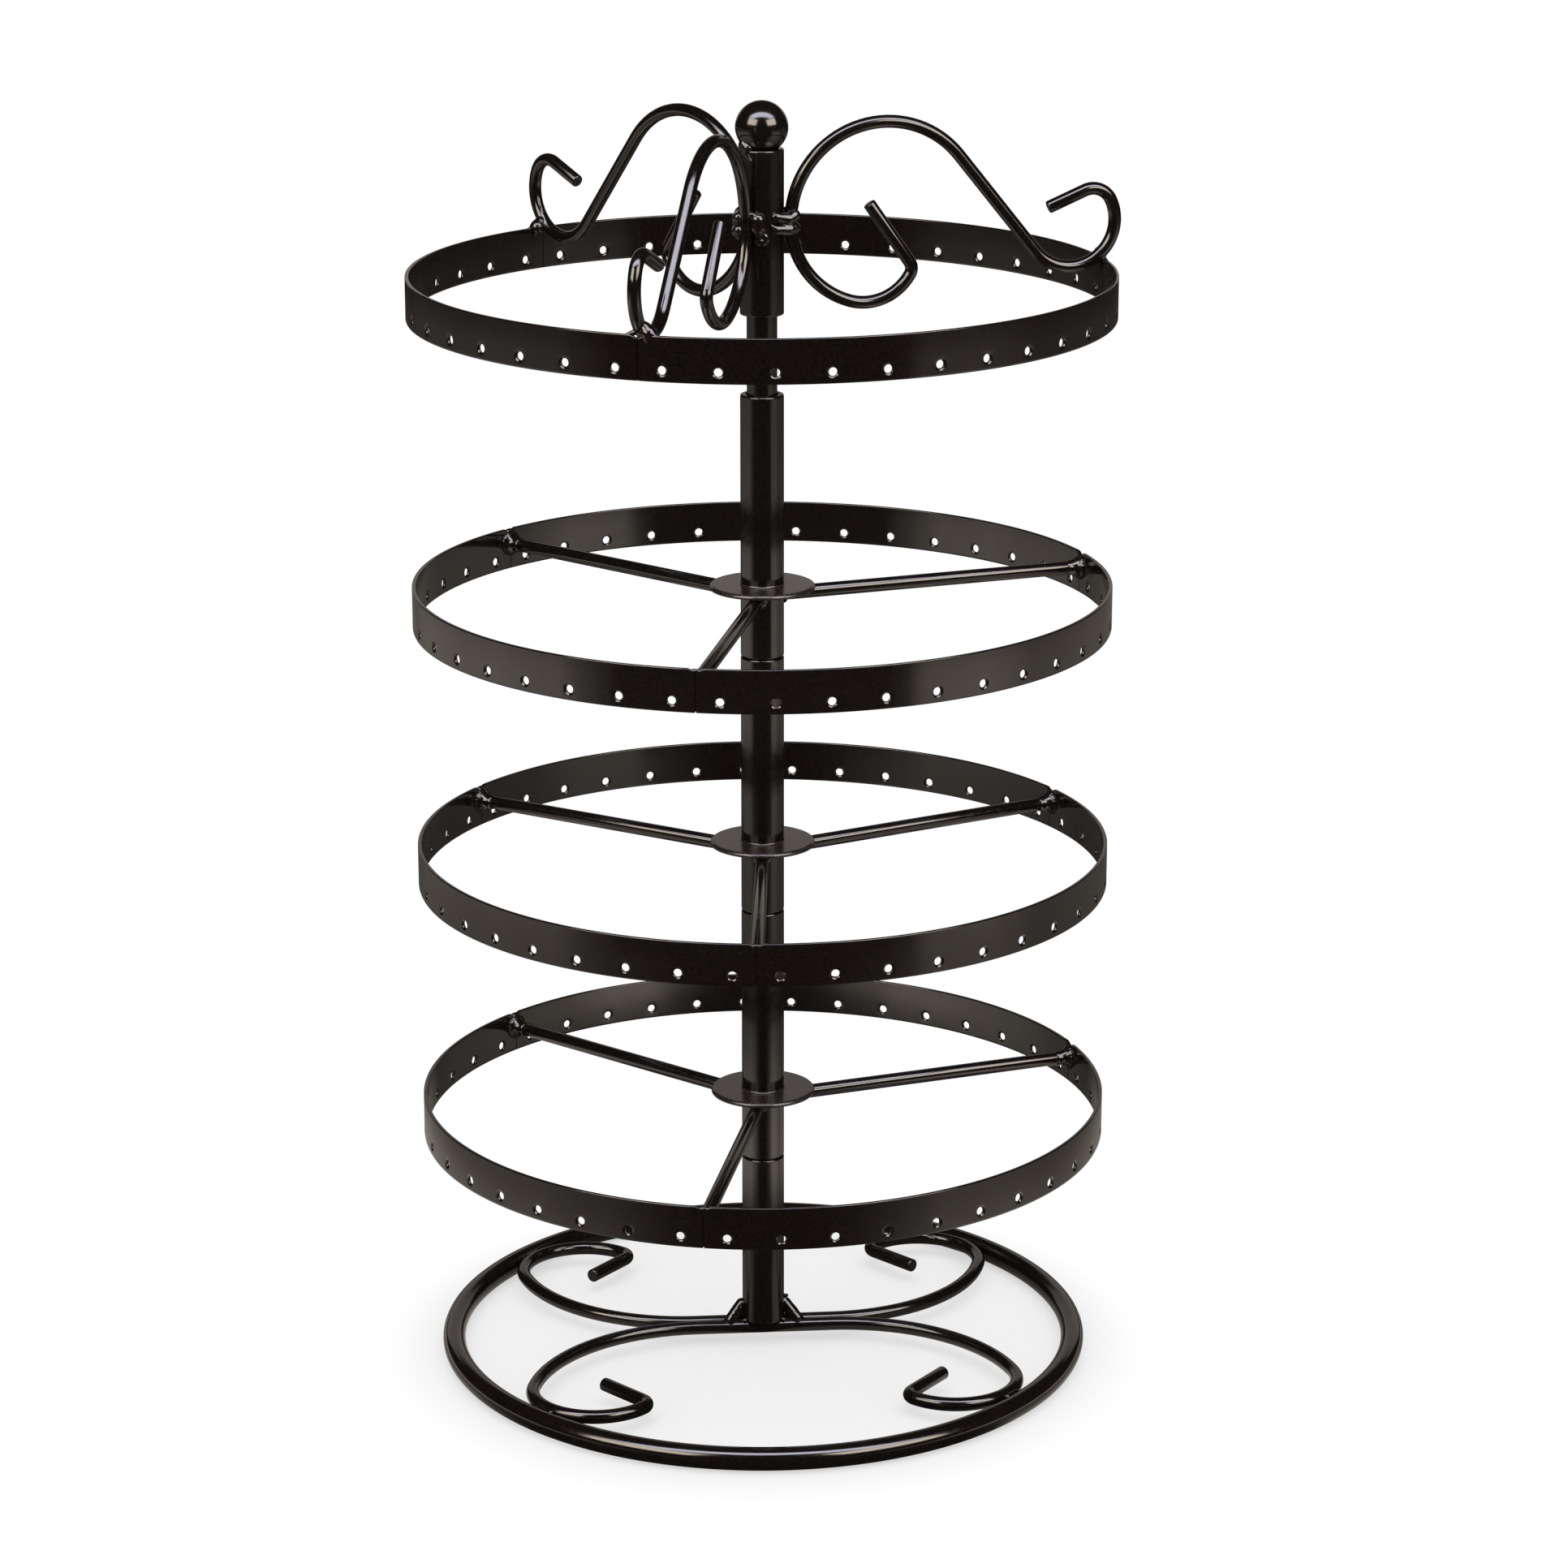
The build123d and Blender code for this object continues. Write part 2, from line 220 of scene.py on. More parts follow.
def settle(piece, kind, weighted=False):
    # closed seams, faces outwards, soft shading that breaks at real corners
    bm = bmesh.new()
    bm.from_mesh(piece.data)
    bmesh.ops.remove_doubles(bm, verts=bm.verts, dist=joinReach * mm)
    bmesh.ops.recalc_face_normals(bm, faces=bm.faces)
    for face in bm.faces:
        face.smooth = True
    bm.to_mesh(piece.data)
    bm.free()
    piece.data.set_sharp_from_angle(angle=math.radians(sharpFrom[kind]))
    if weighted:
        modifier = piece.modifiers.new("flatFaces", "WEIGHTED_NORMAL")
        modifier.keep_sharp = True
        piece.data = meshAfter(piece, modifier)


def fit(piece, node, body):
    # the painted piece stands for its CAD node and moves with its body
    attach(piece, body)
    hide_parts(node)


# Bent wire: a chain of points becomes a round bar with softened cut ends
wireTree = newTree("bentWire", {"Sides": "Int", "Finish": "Material"})
wireIn = addNode(wireTree, "NodeGroupInput")
wireLine = addNode(wireTree, "GeometryNodeMeshToCurve", {"Mesh": wireIn.outputs["Geometry"]})
wireRound = addNode(wireTree, "GeometryNodeCurvePrimitiveCircle", {
    "Resolution": wireIn.outputs["Sides"], "Radius": 1.0})
wireGirth = addNode(wireTree, "GeometryNodeInputNamedAttribute", {"Name": "girth"}, data_type="FLOAT")
wireBar = addNode(wireTree, "GeometryNodeCurveToMesh", {
    "Curve": wireLine.outputs["Curve"], "Profile Curve": wireRound.outputs["Curve"],
    "Scale": wireGirth.outputs["Attribute"], "Fill Caps": True})
wireReal = addNode(wireTree, "GeometryNodeRealizeInstances", {"Geometry": wireBar.outputs["Mesh"]})
wirePaint = addNode(wireTree, "GeometryNodeSetMaterial", {
    "Geometry": wireReal.outputs["Geometry"], "Material": wireIn.outputs["Finish"]})
addNode(wireTree, "NodeGroupOutput", {"Geometry": wirePaint.outputs["Geometry"]})


def bentPath(x, y, heading, moves, stepTurn=4.0, fewest=6):
    # centre line in the wire's own plane: (length, 0) is a straight run and (radius, turn) a bend
    points = [(x, y)]
    heading = math.radians(heading)
    for size, turn in moves:
        if turn == 0:
            x += size * math.cos(heading)
            y += size * math.sin(heading)
            points.append((x, y))
            continue
        side = math.copysign(1, turn)
        centreX = x - side * size * math.sin(heading)
        centreY = y + side * size * math.cos(heading)
        count = max(fewest, math.ceil(abs(turn) / stepTurn))
        for k in range(1, count + 1):
            angle = heading + math.radians(turn) * k / count
            points.append((centreX + side * size * math.sin(angle),
                           centreY - side * size * math.cos(angle)))
        heading += math.radians(turn)
        x, y = points[-1]
    return points


endTurns = (0, 30, 60, 90)                   # steps of the round on a cut end


def softEnd(points, girth, edge):
    # the last point becomes a few, so that the cut end gets a small round
    last = points.pop()
    along = (last - points[-1]).normalized()
    girths = [girth] * len(points)
    for turn in endTurns:
        points.append(last - along * edge * (1 - math.sin(math.radians(turn))))
        girths.append(girth - edge * (1 - math.cos(math.radians(turn))))
    return points, girths


def wirePiece(name, points, form, loop=False):
    # points in millimetres in the frame of the whole stand
    points = [Vector(p) for p in points]
    girth = form["wire"] / 2
    girths = [girth] * len(points)
    if not loop:
        points, girths = softEnd(points, girth, form["edge"])
        points.reverse()
        girths.reverse()
        points, endGirths = softEnd(points, girth, form["edge"])
        girths = girths[:-1] + endGirths[-len(endTurns):]
    edges = [(k, k + 1) for k in range(len(points) - 1)]
    if loop:
        edges.append((len(points) - 1, 0))
    source = pointsObject(name + "Line", [p * mm for p in points], [g * mm for g in girths], edges)
    piece = grow(name, source, wireTree, {"Sides": form["sides"], "Finish": lacquer["wireLacquer"]})
    settle(piece, "wire")
    return piece


# Base: ring bar and two scrolls
ringForm = {"wire": 6.0, "steps": 240, "sides": 40}
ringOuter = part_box("base_ring")[1].x / mm
ringRadius = ringOuter - ringForm["wire"] / 2
ringLine = []
for k in range(ringForm["steps"]):
    angle = 2 * math.pi * k / ringForm["steps"]
    ringLine.append((ringRadius * math.cos(angle), ringRadius * math.sin(angle), ringForm["wire"] / 2))
basePiece = wirePiece("base_ring_painted", ringLine, ringForm, loop=True)
fit(basePiece, "base_ring", "base")

scrollForm = {"wire": 3.6, "rise": 1.4, "fit": 0.05, "bow": 0.585, "bowTurn": 76.0, "curl": 0.21,
              "curlTurn": 149.0, "bend": 3.2, "bendTurn": 85.0, "tail": 15.0, "edge": 0.4, "sides": 32}
scrollLift = ringForm["wire"] / 2 + scrollForm["rise"]
scrollAside = (scrollForm["wire"] + scrollForm["fit"]) / 2
ringTouch = (ringForm["wire"] + scrollForm["wire"]) / 2 + scrollForm["fit"]
scrollReach = ringRadius - math.sqrt(ringTouch ** 2 - scrollForm["rise"] ** 2)
bowRadius = scrollForm["bow"] * scrollReach
curlRadius = scrollForm["curl"] * scrollReach
bowAngle = math.radians(scrollForm["bowTurn"])
curlY = scrollAside + bowRadius - (bowRadius - curlRadius) * math.cos(bowAngle)
curlX = math.sqrt((scrollReach - curlRadius) ** 2 - curlY ** 2)
scrollRun = curlX - (bowRadius - curlRadius) * math.sin(bowAngle)
for node, side in (("front_scroll", -1), ("rear_scroll", 1)):
    half = bentPath(0, scrollAside, 0, [
        (scrollRun, 0), (bowRadius, scrollForm["bowTurn"]), (curlRadius, scrollForm["curlTurn"]),
        (scrollForm["bend"], scrollForm["bendTurn"]), (scrollForm["tail"], 0)])
    line = [(-x, side * y, scrollLift) for x, y in reversed(half[1:])]
    line += [(x, side * y, scrollLift) for x, y in half[1:]]
    piece = wirePiece(node + "_painted", line, scrollForm)
    fit(piece, node, "base")
print("base wires done")


# Turned pieces: a profile of (radius, height, corner round) spun round the pole
def softCorners(corners, steps=5):
    outline = []
    for k, (r, z, soft) in enumerate(corners):
        here = Vector((r, z))
        if soft == 0:
            outline.append(here)
            continue
        before = Vector(corners[k - 1][:2]) - here
        after = Vector(corners[(k + 1) % len(corners)][:2]) - here
        opening = before.angle(after)
        reach = soft / math.tan(opening / 2)
        start = here + before.normalized() * reach
        inward = (before.normalized() + after.normalized()).normalized()
        middle = here + inward * soft / math.sin(opening / 2)
        finish = here + after.normalized() * reach
        for step in range(steps + 1):
            blend = (start - middle).lerp(finish - middle, step / steps).normalized()
            outline.append(middle + blend * soft)
    return outline


def turnedPiece(name, corners, sides, finish, closed=True):
    outline = softCorners(corners)
    bm = bmesh.new()
    rings = []
    for r, z in outline:
        ring = []
        for k in range(sides if r > joinReach else 1):
            angle = 2 * math.pi * k / sides
            ring.append(bm.verts.new((r * math.cos(angle) * mm, r * math.sin(angle) * mm, z * mm)))
        rings.append(ring)
    pairs = list(zip(rings, rings[1:]))
    if closed:
        pairs.append((rings[-1], rings[0]))
    for low, high in pairs:
        for k in range(sides):
            ring = [low[k % len(low)], low[(k + 1) % len(low)],
                    high[(k + 1) % len(high)], high[k % len(high)]]
            face = list(dict.fromkeys(ring))
            if len(face) > 2:
                bm.faces.new(face)
    mesh = meshFrom(bm, name)
    mesh.materials.append(lacquer[finish])
    piece = placed(name, mesh)
    settle(piece, "turned", weighted=True)
    return piece


poleForm = {"sleeve": 5.6, "bore": 4.2, "postBore": 3.95, "lip": 0.45, "innerLip": 0.25, "rod": 3.9,
            "rodFoot": 0.3, "rodTip": 0.8, "sides": 72}
sleeve = poleForm["sleeve"]


def tubePiece(node, body, bore):
    low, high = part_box(node)
    lip, inner = poleForm["lip"], poleForm["innerLip"]
    foot, top = low.z / mm, high.z / mm
    piece = turnedPiece(node + "_painted", [
        (sleeve, foot, lip), (sleeve, top, lip), (bore, top, inner), (bore, foot, inner)],
        poleForm["sides"], "tubeLacquer")
    fit(piece, node, body)


tubePiece("base_post", "base", poleForm["postBore"])
for tier in ("lower", "middle", "upper", "top"):
    tubePiece(tier + "_sleeve", tier + "_tier", poleForm["bore"])

rodFoot, rodTip = [corner.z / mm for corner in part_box("centre_rod")]
rodPiece = turnedPiece("centre_rod_painted", [
    (0, rodFoot, 0), (poleForm["rod"], rodFoot, poleForm["rodFoot"]),
    (poleForm["rod"], rodTip, poleForm["rodTip"]), (0, rodTip, 0)],
    poleForm["sides"], "tubeLacquer", closed=False)
fit(rodPiece, "centre_rod", "base")

ballForm = {"rings": 48, "sides": 96}
ballLow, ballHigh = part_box("finial_ball")
ballMiddle = (ballLow.z + ballHigh.z) / 2 / mm
ballRadius = (ballHigh.z - ballLow.z) / 2 / mm
ballArc = []
for k in range(ballForm["rings"] + 1):
    angle = math.pi * k / ballForm["rings"]
    ballArc.append((ballRadius * math.sin(angle), ballMiddle - ballRadius * math.cos(angle), 0))
ballPiece = turnedPiece("finial_ball_painted", ballArc, ballForm["sides"], "tubeLacquer", closed=False)
fit(ballPiece, "finial_ball", "top_tier")

discForm = {"rim": 0.85, "foot": 0.25, "bore": 5.65, "fillet": 0.5, "filletSteps": 4, "sides": 96}
for tier in ("lower", "middle", "upper"):
    low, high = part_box(tier + "_hub_disc")
    under, over, rim = low.z / mm, high.z / mm, high.x / mm
    corners = [(discForm["bore"], under, 0), (rim, under, discForm["foot"]), (rim, over, discForm["rim"])]
    # lacquer pools in the corner against the sleeve
    for k in range(discForm["filletSteps"] + 1):
        angle = math.pi / 2 * k / discForm["filletSteps"]
        corners.append((discForm["bore"] + discForm["fillet"] * (1 - math.sin(angle)),
                        over + discForm["fillet"] * (1 - math.cos(angle)), 0))
    piece = turnedPiece(tier + "_hub_disc_painted", corners, discForm["sides"], "plateLacquer")
    fit(piece, tier + "_hub_disc", tier + "_tier")
print("pole, discs and ball done")


# Turn of each tier as it stands: the direction of its first spoke or arm
tierTurns = {"lower": 16.0, "middle": 24.5, "upper": 15.2, "top": 6.5}
strips = 3
bandForm = {"outer": 90.0, "wall": 1.0, "height": 11.0}
bandInner = bandForm["outer"] - bandForm["wall"]


def seamTurn(tier, number):
    return tierTurns[tier] + (number - 1) * 360 / strips


def radialPlace(turn, outward, aside, height):
    # a point given by how far out, how far to the side and how high it is in a radial plane
    angle = math.radians(turn)
    return Vector((outward * math.cos(angle) - aside * math.sin(angle),
                   outward * math.sin(angle) + aside * math.cos(angle), height))


# Spokes
spokeForm = {"wire": 3.6, "fit": 0.1, "edge": 0.3, "sides": 32}
spokeEnds = (sleeve + spokeForm["fit"], bandInner - spokeForm["fit"])
for tier in ("lower", "middle", "upper"):
    for number in range(1, strips + 1):
        node = f"{tier}_spoke_{number}"
        low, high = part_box(node)
        height = (low.z + high.z) / 2 / mm
        line = [radialPlace(seamTurn(tier, number), outward, 0, height) for outward in spokeEnds]
        piece = wirePiece(node + "_painted", line, spokeForm)
        fit(piece, node, tier + "_tier")


# Scrolled arms of the top tier, bent from the sleeve contact upwards and downwards
armForm = {"wire": 3.3, "fit": 0.05, "offset": 2.0, "weld": 0.56, "arch": 0.294, "trough": 0.141,
           "hook": 0.064, "hookTail": 0.126, "loop": 0.259, "curl": 0.163, "curlTail": 0.223,
           "curlBend": 3.0, "seat": 41.0, "hookStart": 116.0, "hookTurn": 87.0, "loopTurn": 73.0,
           "curlTurn": 76.7, "curlBendTurn": 65.2, "edge": 0.4, "sides": 32}
topLow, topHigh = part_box("top_sleeve")
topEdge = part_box("top_strip_1")[1].z / mm
armSpan = bandInner - sleeve
arch, trough = armForm["arch"] * armSpan, armForm["trough"] * armSpan
# an arm's plane passes a little beside the pole's axis
armTouch = sleeve + armForm["wire"] / 2 + armForm["fit"]
armFoot = math.sqrt(armTouch ** 2 - armForm["offset"] ** 2)
armReach = math.sqrt(bandInner ** 2 - armForm["offset"] ** 2)
armSwing = math.degrees(math.asin(armForm["offset"] / bandInner))
touchSwing = armSwing - math.degrees(math.asin(armForm["offset"] / armTouch))
armWeld = (topLow.z + armForm["weld"] * (topHigh.z - topLow.z)) / mm
seat = math.radians(armForm["seat"])
seatReach = trough + armForm["wire"] / 2 + armForm["fit"]
apartX = armReach - seatReach * math.sin(seat) - armFoot - arch
apartY = topEdge + seatReach * math.cos(seat) - armWeld
apart = math.hypot(apartX, apartY)
slope = math.degrees(math.asin((arch + trough) / apart) - math.atan2(apartY, apartX))
slopeRun = math.sqrt(apart ** 2 - (arch + trough) ** 2)
armUp = bentPath(armFoot, armWeld, 90, [
    (arch, -90 - slope), (slopeRun, 0), (trough, slope + armForm["hookStart"]),
    (armForm["hook"] * armSpan, armForm["hookTurn"]), (armForm["hookTail"] * armSpan, 0)])
armDown = bentPath(armFoot, armWeld, -90, [
    (armForm["loop"] * armSpan, armForm["loopTurn"]), (armForm["curl"] * armSpan, armForm["curlTurn"]),
    (armForm["curlBend"], armForm["curlBendTurn"]), (armForm["curlTail"] * armSpan, 0)])
armLine = list(reversed(armDown[1:])) + armUp
for number in range(1, strips + 1):
    node = f"top_arm_{number}"
    turn = seamTurn("top", number) + armSwing
    line = [radialPlace(turn, outward, -armForm["offset"], height) for outward, height in armLine]
    piece = wirePiece(node + "_painted", line, armForm)
    fit(piece, node, "top_tier")
print("spokes and arms done")


# Perforated strips: one flat block with a pierced hole, bent to the band and repeated along it
stripForm = {"holes": 14, "seamShare": 0.87, "seam": 0.36, "holeLift": 2.8, "edge": 0.26, "frame": 2.3,
             "frameCells": 4, "corner": 0.8, "cornerReach": 1.2}
# the hole's wall from the face inwards: the punch pulls the face in, and the coat rounds off both rims
holeWall = [(1.62, 0.0), (1.48, -0.03), (1.36, -0.10), (1.19, -0.22), (1.06, -0.33), (1.05, -0.72),
            (1.18, -0.82), (1.34, -0.93), (1.46, -0.98), (1.60, -1.0)]
holePitch = 360 / strips / (stripForm["holes"] - 1 + stripForm["seamShare"])
blockHalf = math.radians(holePitch) / 2 * bandForm["outer"]
endHalf = blockHalf * stripForm["seamShare"] - stripForm["seam"] / 2


def holeBlock(name, left, right, leftEnd, rightEnd):
    # u runs along the strip from the hole, v up from the lower edge, w out of the face
    frameHalf, cells, edge = stripForm["frame"], stripForm["frameCells"], stripForm["edge"]
    lift, height, wall = stripForm["holeLift"], bandForm["height"], bandForm["wall"]
    middle = [frameHalf * (2 * k / cells - 1) for k in range(cells + 1)]
    us = [-left, -(left + frameHalf) / 2] + middle + [(right + frameHalf) / 2, right]
    vs = [edge] + [lift + m for m in middle] + [height - edge]
    bm = bmesh.new()
    made = {}

    def corner(u, v, w):
        key = (round(u, 6), round(v, 6), round(w, 6))
        if key not in made:
            made[key] = bm.verts.new(key)
        return made[key]

    def patch(u0, u1, v0, w0, v1, w1):
        bm.faces.new([corner(u0, v0, w0), corner(u1, v0, w0), corner(u1, v1, w1), corner(u0, v1, w1)])

    # both faces, with the square round the hole left open
    for w in (0, -wall):
        for u0, u1 in zip(us, us[1:]):
            for v0, v1 in zip(vs, vs[1:]):
                inU = u0 >= -frameHalf and u1 <= frameHalf
                inV = v0 >= vs[1] and v1 <= vs[-2]
                if not (inU and inV):
                    patch(u0, u1, v0, w, v1, w)
    # the square's rim, walked round once
    rim = [(m, -frameHalf) for m in middle[:-1]] + [(frameHalf, m) for m in middle[:-1]]
    rim += [(-m, frameHalf) for m in middle[:-1]] + [(-frameHalf, -m) for m in middle[:-1]]
    rings = [[corner(u, lift + v, 0) for u, v in rim]]
    turns = [math.radians(-135 + 360 * k / len(rim)) for k in range(len(rim))]    # the first is a corner
    for r, w in holeWall:
        rings.append([corner(r * math.cos(t), lift + r * math.sin(t), w) for t in turns])
    rings.append([corner(u, lift + v, -wall) for u, v in rim])
    for first, second in zip(rings, rings[1:]):
        for k in range(len(rim)):
            n = (k + 1) % len(rim)
            bm.faces.new([first[k], first[n], second[n], second[k]])
    # upper and lower edges, broken by a small round
    half = edge * (1 - math.sqrt(0.5))
    edgeLine = [(edge, 0), (half, -half), (0, -edge), (0, edge - wall), (half, half - wall), (edge, -wall)]
    for base, way in ((0, 1), (height, -1)):
        for (d0, w0), (d1, w1) in zip(edgeLine, edgeLine[1:]):
            for u0, u1 in zip(us, us[1:]):
                patch(u0, u1, base + way * d0, w0, base + way * d1, w1)
    # cut ends of the strip
    endLine = [(v, 0) for v in vs] + [(height - d, w) for d, w in edgeLine[1:-1]]
    endLine += [(v, -wall) for v in reversed(vs)] + [(d, w) for d, w in reversed(edgeLine[1:-1])]
    for closed, u in ((leftEnd, -left), (rightEnd, right)):
        if closed:
            bm.faces.new([corner(u, v, w) for v, w in endLine])
            # the shears leave the upper corner a little round
            for vert in bm.verts:
                near = max(0, 1 - abs(vert.co.x - u) / stripForm["cornerReach"])
                if vert.co.y > height / 2:
                    vert.co.y -= stripForm["corner"] * near ** 2
    # bend to the band
    for vert in bm.verts:
        angle = vert.co.x / bandForm["outer"]
        r = bandForm["outer"] + vert.co.z
        vert.co = Vector((r * math.cos(angle), r * math.sin(angle), vert.co.y)) * mm
    return placed(name, meshFrom(bm, name))


stripTree = newTree("perforatedStrip", {
    "Middle Block": "Object", "First Block": "Object", "Last Block": "Object", "Holes": "Int",
    "First Turn": "Float", "Pitch": "Float", "Foot": "Float", "Finish": "Material"})
stripIn = addNode(stripTree, "NodeGroupInput")
stripFoot = addNode(stripTree, "ShaderNodeCombineXYZ", {"Z": stripIn.outputs["Foot"]})
stripStops = addNode(stripTree, "GeometryNodeMeshLine", {
    "Count": stripIn.outputs["Holes"], "Start Location": stripFoot.outputs["Vector"], "Offset": (0, 0, 0)})
stripIndex = addNode(stripTree, "GeometryNodeInputIndex")
stripTurn = addNode(stripTree, "ShaderNodeMath", {
    0: stripIndex.outputs["Index"], 1: stripIn.outputs["Pitch"], 2: stripIn.outputs["First Turn"]},
    operation="MULTIPLY_ADD")
stripSpin = addNode(stripTree, "ShaderNodeCombineXYZ", {"Z": stripTurn.outputs["Value"]})
# block 0 is the first one, 1 the usual one and 2 the last
stripLast = addNode(stripTree, "ShaderNodeMath", {
    0: stripIn.outputs["Holes"], 1: 1.0}, operation="SUBTRACT")
stripPastStart = addNode(stripTree, "ShaderNodeMath", {
    0: stripIndex.outputs["Index"], 1: 0.5}, operation="GREATER_THAN")
stripAtEnd = addNode(stripTree, "ShaderNodeMath", {
    0: stripIndex.outputs["Index"], 1: stripLast.outputs["Value"], 2: 0.5}, operation="COMPARE")
stripPick = addNode(stripTree, "ShaderNodeMath", {
    0: stripPastStart.outputs["Value"], 1: stripAtEnd.outputs["Value"]}, operation="ADD")
stripShapes = addNode(stripTree, "GeometryNodeGeometryToInstance")
for label in ("Last Block", "Middle Block", "First Block"):
    shape = addNode(stripTree, "GeometryNodeObjectInfo", {"Object": stripIn.outputs[label]})
    stripTree.links.new(shape.outputs["Geometry"], stripShapes.inputs["Geometry"])
stripRow = addNode(stripTree, "GeometryNodeInstanceOnPoints", {
    "Points": stripStops.outputs["Mesh"], "Instance": stripShapes.outputs["Instances"],
    "Pick Instance": True, "Instance Index": stripPick.outputs["Value"],
    "Rotation": stripSpin.outputs["Vector"]})
stripReal = addNode(stripTree, "GeometryNodeRealizeInstances", {"Geometry": stripRow.outputs["Instances"]})
stripJoin = addNode(stripTree, "GeometryNodeMergeByDistance", {
    "Geometry": stripReal.outputs["Geometry"], "Distance": joinReach * mm})
stripPaint = addNode(stripTree, "GeometryNodeSetMaterial", {
    "Geometry": stripJoin.outputs["Geometry"], "Material": stripIn.outputs["Finish"]})
addNode(stripTree, "NodeGroupOutput", {"Geometry": stripPaint.outputs["Geometry"]})

blocks = {
    "Middle Block": holeBlock("middleBlock", blockHalf, blockHalf, False, False),
    "First Block": holeBlock("firstBlock", endHalf, blockHalf, True, False),
    "Last Block": holeBlock("lastBlock", blockHalf, endHalf, False, True)}
for tier in ("lower", "middle", "upper", "top"):
    for number in range(1, strips + 1):
        node = f"{tier}_strip_{number}"
        firstTurn = seamTurn(tier, number) + holePitch * stripForm["seamShare"] / 2
        source = pointsObject(node + "Line", [(0, 0, 0)], [1.0], [])
        piece = grow(node + "_painted", source, stripTree, {
            **blocks, "Holes": stripForm["holes"], "First Turn": math.radians(firstTurn),
            "Pitch": math.radians(holePitch), "Foot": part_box(node)[0].z, "Finish": lacquer["stripLacquer"]})
        settle(piece, "strip", weighted=True)
        fit(piece, node, tier + "_tier")
for block in blocks.values():
    bpy.data.objects.remove(block)
print("perforated strips done")


# Weld metal: beads laid as points with a girth, fused, slumped and roughened
weldTree = newTree("weldBeads", {
    "Grain": "Float", "Slump": "Int", "Ripple": "Float", "Ripple Scale": "Float", "Finish": "Material"})
weldIn = addNode(weldTree, "NodeGroupInput")
weldGirth = addNode(weldTree, "GeometryNodeInputNamedAttribute", {"Name": "girth"}, data_type="FLOAT")
weldDots = addNode(weldTree, "GeometryNodeMeshToPoints", {
    "Mesh": weldIn.outputs["Geometry"], "Radius": weldGirth.outputs["Attribute"]})
weldCloud = addNode(weldTree, "GeometryNodePointsToVolume", {
    "Points": weldDots.outputs["Points"], "Voxel Size": weldIn.outputs["Grain"],
    "Radius": weldGirth.outputs["Attribute"]}, resolution_mode="VOXEL_SIZE")
weldSkin = addNode(weldTree, "GeometryNodeVolumeToMesh", {
    "Volume": weldCloud.outputs["Volume"], "Threshold": 0.1}, resolution_mode="GRID")
weldPlace = addNode(weldTree, "GeometryNodeInputPosition")
weldSoft = addNode(weldTree, "GeometryNodeBlurAttribute", {
    "Value": weldPlace.outputs["Position"], "Iterations": weldIn.outputs["Slump"]},
    data_type="FLOAT_VECTOR")
weldSlump = addNode(weldTree, "GeometryNodeSetPosition", {
    "Geometry": weldSkin.outputs["Mesh"], "Position": weldSoft.outputs["Value"]})
weldNoise = addNode(weldTree, "ShaderNodeTexNoise", {
    "Vector": weldPlace.outputs["Position"], "Scale": weldIn.outputs["Ripple Scale"], "Detail": 2.0})
weldSwing = addNode(weldTree, "ShaderNodeMath", {
    0: weldNoise.outputs["Fac"], 1: weldIn.outputs["Ripple"]}, operation="MULTIPLY")
weldOut = addNode(weldTree, "GeometryNodeInputNormal")
weldShift = addNode(weldTree, "ShaderNodeVectorMath", {
    0: weldOut.outputs["Normal"], "Scale": weldSwing.outputs["Value"]}, operation="SCALE")
weldRough = addNode(weldTree, "GeometryNodeSetPosition", {
    "Geometry": weldSlump.outputs["Geometry"], "Offset": weldShift.outputs["Vector"]})
weldReal = addNode(weldTree, "GeometryNodeRealizeInstances", {"Geometry": weldRough.outputs["Geometry"]})
weldPaint = addNode(weldTree, "GeometryNodeSetMaterial", {
    "Geometry": weldReal.outputs["Geometry"], "Material": weldIn.outputs["Finish"]})
addNode(weldTree, "NodeGroupOutput", {"Geometry": weldPaint.outputs["Geometry"]})

weldForm = {"grain": 0.15, "slump": 14, "ripple": 0.03, "rippleSize": 1.6, "step": 0.4,
            "swing": (0.97, 1.03), "seed": 8}
shake = random.Random(weldForm["seed"])


def weldPiece(node, body, beads):
    # beads are (place, girth) in millimetres
    source = pointsObject(node + "Dots", [p * mm for p, g in beads], [g * mm for p, g in beads], [])
    piece = grow(node + "_painted", source, weldTree, {
        "Grain": weldForm["grain"] * mm, "Slump": weldForm["slump"], "Ripple": weldForm["ripple"] * mm,
        "Ripple Scale": perMetre(weldForm["rippleSize"]), "Finish": lacquer["weldLacquer"]})
    settle(piece, "weld")
    fit(piece, node, body)


def weldStops(turn, outward, height, stops, shift=0, flip=1):
    # settings give each stop of a weld as (turn, outward, aside, up, girth), counted from its joint
    return [(radialPlace(turn + t, outward + o, shift + flip * a, height + u), girth)
            for t, o, a, u, girth in stops]


def beadRun(stops):
    # beads that taper from each stop to the next
    beads = []
    for (start, startGirth), (end, endGirth) in zip(stops, stops[1:]):
        count = max(2, math.ceil((end - start).length / weldForm["step"]))
        for k in range(count + 1):
            girth = startGirth + (endGirth - startGirth) * k / count
            beads.append((start.lerp(end, k / count), girth * shake.uniform(*weldForm["swing"])))
    return beads


# butts of the strips, from the inner face and the edge of the band: an upright run, and a cap if filled
seamFoot = (0, 0.42, 0, 0.5 - bandForm["height"], 0.42)
seamForm = {"spoke": (seamFoot, (0, 0.42, 0, -1.8, 0.42)), "arm": (seamFoot, (0, 0.42, 0, -0.5, 0.42)),
            "cap": ((0, 0.5, -0.7, -0.65, 0.62), (0, 0.5, 0.7, -0.65, 0.62))}
